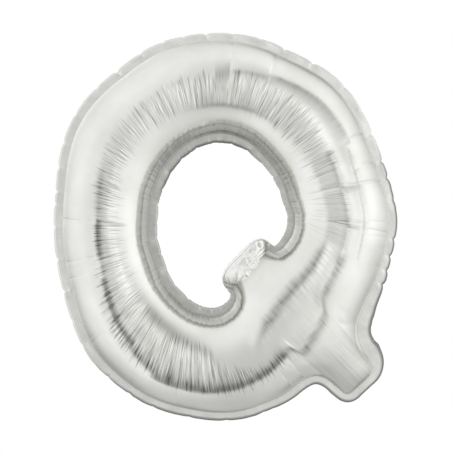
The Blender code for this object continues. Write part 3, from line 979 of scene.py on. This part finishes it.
def weldedFoil(side):
    # the same film welded to itself under a ribbed hot bar: flat, a shade duller, with a fine pressed grain,
    # and a painted shade along its curled edge
    material, tree, shader = newMaterial("aluminised polyester film, heat sealed, " + side)
    place = addNode(tree, "TexCoord").outputs["Object"]
    clouds = addNode(tree, "TexNoise", {"Scale": 26.0, "Detail": 4.0, "Roughness": 0.6}, {"Vector": place})
    tint = varied(tree, shader, clouds.outputs["Fac"], sealLook[side], (0.3, 0.7), clouds.outputs["Fac"],
                  sealLook["roughness"])
    # painted shade: the marked, curled edge mixes towards the folds' shade colour
    turnedAndShaded = addNode(tree, "Attribute", attribute_name="turnedAndShaded").outputs["Fac"]
    edge = addNode(tree, "Math", {1: sealLook["edgeShade"]}, {0: turnedAndShaded}, operation="MULTIPLY").outputs[0]
    colour = addNode(tree, "Mix", {7: linear(foilLook["shade"])}, {0: edge, 6: tint}, data_type="RGBA")
    tree.links.new(colour.outputs[2], shader.inputs["Base Color"])
    grain = addNode(tree, "TexVoronoi", {"Scale": 1000 / sealLook["weldPitch"]}, {"Vector": place})
    pressed = addNode(tree, "Bump", {"Strength": 0.04, "Distance": 0.0006},
                      {"Height": grain.outputs["Distance"]})
    crinkle = addNode(tree, "TexNoise", {"Scale": 60.0, "Detail": 2.0}, {"Vector": place})
    creased = addNode(tree, "Bump", {"Strength": 0.07, "Distance": 0.003},
                      {"Height": crinkle.outputs["Fac"], "Normal": pressed.outputs["Normal"]})
    tree.links.new(creased.outputs["Normal"], shader.inputs["Normal"])
    shader.inputs["Metallic"].default_value = 1
    return material


valveLook = {"colours": ("#C9CED2", "#E4E8EA"), "roughness": (0.22, 0.38), "ior": 1.51}


def valveFilm():
    # clear polyethylene film, blown: milky where its two layers cling, smooth and slightly wavy
    material, tree, shader = newMaterial("polyethylene film, blown")
    place = addNode(tree, "TexCoord").outputs["Object"]
    cling = addNode(tree, "TexNoise", {"Scale": 320.0, "Detail": 3.0, "Roughness": 0.6}, {"Vector": place})
    tint = varied(tree, shader, cling.outputs["Fac"], valveLook["colours"], (0.35, 0.65),
                  cling.outputs["Fac"], valveLook["roughness"])
    tree.links.new(tint, shader.inputs["Base Color"])
    wavy = addNode(tree, "Bump", {"Strength": 0.2, "Distance": 0.001}, {"Height": cling.outputs["Fac"]})
    tree.links.new(wavy.outputs["Normal"], shader.inputs["Normal"])
    shader.inputs["IOR"].default_value = valveLook["ior"]
    return material


def finishPiece(piece, material, slot, *nodes):
    piece.data.materials.append(material)
    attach(piece, "root")
    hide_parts(*nodes)
    print(piece.name, len(piece.data.polygons), "faces")


foil, crushed, welded, clearFilm = satinFoil(), crushedFoil(), weldedFoil("outside"), valveFilm()
points, chart, marks = filmPoints(-1, film["frontSeed"])
frontPiece = makeGrid("frontFilm", points, flip=True, chart=chart, marks=marks)
finishPiece(frontPiece, foil, "silver_foil", "front_foil")
points, chart, marks = filmPoints(1, film["backSeed"])
finishPiece(makeGrid("backFilm", points, chart=chart, marks=marks), foil, "silver_foil", "back_foil")

marginPlaces = evenPlaces(margin["around"])
counterSeal, outerSeal, counterWidth, outerWidth, _ = letterLines(marginPlaces)
points, marks = marginPoints(outerSeal, outerWidth, 1, nips, margin["curlZone"], margin["outerSeed"])
outerMargin = makeGrid("outerMargin", points, closedAcross=True, flip=True, marks=marks)
finishPiece(outerMargin, welded, "sealed_foil", "outer_seam")
counterNips = [(clock, 0.5 + 0.5 * (k % 3)) for k, clock in enumerate(range(20, 260, 13))]
points, marks = marginPoints(counterSeal, counterWidth, -1, counterNips, margin["counterCurlZone"],
                             margin["counterSeed"])
counterMargin = makeGrid("counterMargin", points, closedAcross=True, marks=marks)
# the counter's margin takes the darker colours, painted shade
finishPiece(counterMargin, weldedFoil("counter"), "sealed_foil", "counter_seam")

fold = makeGrid("tailFold", tailFoldPoints(frontPiece), closedAround=False, closedAcross=True, flip=True)
finishPiece(fold, crushed, "silver_foil", "tail_fold")

neckY = neck["behind"] + neck["thick"] / 2
points = flatTab(neck["width"], 0, neck["length"], neck["thick"], neckY, neck["seed"], neck["bend"])
fillerNeck = makeGrid("fillerNeck", points, closedAround=False, closedAcross=True)
finishPiece(fillerNeck, welded, "sealed_foil", "filler_neck")
sleeveStart, sleeveEnd = neck["length"] - neck["sleeveOverlap"], neck["length"] + neck["sleeveLength"]
points = flatTab(neck["sleeveWidth"], sleeveStart, sleeveEnd, neck["sleeveThick"], neckY, neck["sleeveSeed"],
                 neck["sleeveBend"])
valveSleeve = makeGrid("valveSleeve", points, closedAround=False, closedAcross=True)
finishPiece(valveSleeve, clearFilm, "valve_film", "valve_sleeve")
print("all pieces made")

# The studio: soft lights and dark cards round the balloon, seen only in its film, and plain white behind it.
# All but the rear ones are simplified from a fit to the letter's tones.
studio = {
    "base": 0.63,
    "rise": 0.10,  # how much brighter the ceiling is than the wall
    "dimmest": 0.02,
    # azimuth from the camera's side and elevation, how far each spreads, all in degrees, and its brightness;
    # a minus one is a dark card
    "lights": {
        "right softbox": (55, 15, 40, 0.50),
        "left softbox": (-75, 0, 40, 0.30),
        "low left fill": (-30, -40, 20, 0.25),
        "lamp beside the camera": (15, 8, 9, 0.45),
        "dark floor card": (-8, -32, 12, -0.55),
        "dark card high on the right": (27, 28, 17, -0.50),
        "dark camera": (0, 2, 12, -0.25),
        "dark low side cards, right": (135, -35, 12, -0.25),
        "dark low side cards, left": (-135, -30, 15, -0.25),
        "rear lamp": (165, 8, 11, 0.38),
        "rear left softbox": (-155, 14, 14, 0.35),
        "rear floor card": (-175, -28, 12, -0.35),
        "rear high card": (158, 30, 14, -0.40),
    },
}


def studioWorld():
    world = bpy.data.worlds.new("studio")
    bpy.context.scene.world = world
    world.use_nodes = True
    tree = world.node_tree
    way = addNode(tree, "TexCoord").outputs["Generated"]
    up = addNode(tree, "SeparateXYZ", {}, {0: way}).outputs["Z"]
    light = addNode(tree, "Math", {1: studio["rise"], 2: studio["base"]}, {0: up},
                    operation="MULTIPLY_ADD").outputs[0]
    for azimuth, elevation, spread, bright in studio["lights"].values():
        a, e = math.radians(azimuth), math.radians(elevation)
        toward = (math.sin(a) * math.cos(e), -math.cos(a) * math.cos(e), math.sin(e))
        near = addNode(tree, "VectorMath", {1: toward}, {0: way}, operation="DOT_PRODUCT").outputs["Value"]
        tight = 1 / math.radians(spread) ** 2
        fall = addNode(tree, "Math", {1: tight, 2: -tight}, {0: near}, operation="MULTIPLY_ADD").outputs[0]
        glow = addNode(tree, "Math", {}, {0: fall}, operation="EXPONENT").outputs[0]
        light = addNode(tree, "Math", {1: bright}, {0: glow, 2: light}, operation="MULTIPLY_ADD").outputs[0]
    kept = addNode(tree, "Math", {1: studio["dimmest"]}, {0: light}, operation="MAXIMUM").outputs[0]
    camera = addNode(tree, "LightPath").outputs["Is Camera Ray"]
    shown = addNode(tree, "Mix", {"B": 1.0}, {"Factor": camera, "A": kept}).outputs[0]
    tree.links.new(shown, tree.nodes["Background"].inputs["Color"])


studioWorld()
bpy.context.scene.view_settings.view_transform = "Standard"

floorLook = {"level": -1.6, "radius": 3.2, "colour": "#F2F2F0"}


def studioFloor():
    # pale matt studio board, fading into the white behind it
    bpy.ops.mesh.primitive_circle_add(vertices=96, radius=floorLook["radius"], fill_type="NGON",
                                      location=(0, 0, floorLook["level"]))
    floor = bpy.context.object
    floor.name = "studioFloor"
    material, tree, shader = newMaterial("painted board, matt")
    place = addNode(tree, "TexCoord").outputs["Object"]
    mottle = addNode(tree, "TexNoise", {"Scale": 3.0, "Detail": 5.0}, {"Vector": place})
    rough = addNode(tree, "MapRange", {"To Min": 0.7, "To Max": 0.85}, {"Value": mottle.outputs["Fac"]})
    tree.links.new(rough.outputs["Result"], shader.inputs["Roughness"])
    shader.inputs["Base Color"].default_value = linear(floorLook["colour"])
    away = addNode(tree, "VectorMath", {}, {0: place}, operation="LENGTH")
    fade = addNode(tree, "MapRange", {"From Min": 1.0, "From Max": floorLook["radius"], "To Min": 1.0,
                                      "To Max": 0.0}, {"Value": away.outputs["Value"]},
                   interpolation_type="SMOOTHSTEP")
    tree.links.new(fade.outputs["Result"], shader.inputs["Alpha"])
    floor.data.materials.append(material)
    floor.visible_glossy = False


studioFloor()

view = {"distance": 3.6, "height": 0.0022, "letterHeight": 0.86, "letterPixels": 387, "framePixels": 452}
camera = bpy.data.objects.new("camera", bpy.data.cameras.new("camera"))
bpy.context.scene.collection.objects.link(camera)
camera.location = (0, -view["distance"], view["height"])
camera.rotation_euler = (math.radians(90), 0, 0)
frameWidth = view["framePixels"] * view["letterHeight"] / view["letterPixels"]
camera.data.lens = camera.data.sensor_width * view["distance"] / frameWidth
bpy.context.scene.camera = camera
print("studio and camera made")
